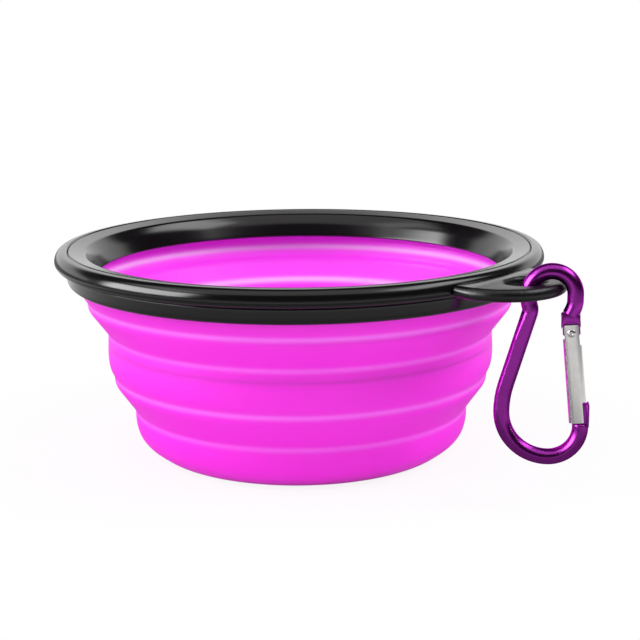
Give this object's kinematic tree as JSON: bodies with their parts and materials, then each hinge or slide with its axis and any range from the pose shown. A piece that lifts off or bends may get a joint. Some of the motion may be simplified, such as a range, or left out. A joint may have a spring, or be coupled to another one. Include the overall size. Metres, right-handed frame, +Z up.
{
  "type": "collapsible silicone bowl",
  "caption": "Round folding silicone bowl with a two-part black plastic rim, a tab with a hole, and a spring-gate clip hanging from the tab.",
  "frame": {"origin": "the bowl's axis, on the plane it stands on", "axes": "+Z up along the bowl's axis, +X along the middle line of the rim's tab"},
  "size_m": [0.1534, 0.1304, 0.0587],
  "materials": {
    "rim_plastic": "smooth glossy black plastic",
    "silicone": "satin bright magenta silicone, slightly translucent where it is thin",
    "purple_metal": "glossy purple anodised metal",
    "bright_steel": "polished bright steel sheet",
    "spring_steel": "fine spring wire"
  },
  "bodies": {
    "rim": {"outer_rim_ring": "rim_plastic", "inner_rim_ring": "rim_plastic", "top_band": "silicone", "upper_fold": "silicone"},
    "middle": {"middle_band": "silicone", "lower_fold": "silicone"},
    "base": {"base_cup": "silicone"},
    "clip": {"clip_body": "purple_metal", "gate_rivet": "bright_steel"},
    "gate": {"clip_gate": "bright_steel", "gate_spring": "spring_steel", "spring_plunger": "bright_steel"}
  },
  "joints": [
    {"name": "middle_slide", "type": "slide", "parent": "rim", "child": "middle", "axis": [0, 0, 1], "range_m": [0, 0.014], "deforming": ["upper_fold"]},
    {"name": "base_slide", "type": "slide", "parent": "middle", "child": "base", "axis": [0, 0, 1], "range_m": [0, 0.0196], "deforming": ["lower_fold"]},
    {"name": "clip_swing", "type": "hinge", "parent": "rim", "child": "clip", "pos_m": [0.07886, 0.00188, 0.0524], "axis": [0.5402, -0.8415, 0], "range_deg": [-5, 90]},
    {"name": "gate_hinge", "type": "hinge", "parent": "clip", "child": "gate", "pos_m": [0.08328, 0.00471, 0.04243], "axis": [-0.5402, 0.8415, 0], "range_deg": [0, 25], "stiffness_Nm_per_rad": 0.01, "springref_deg": -17.19}
  ]
}
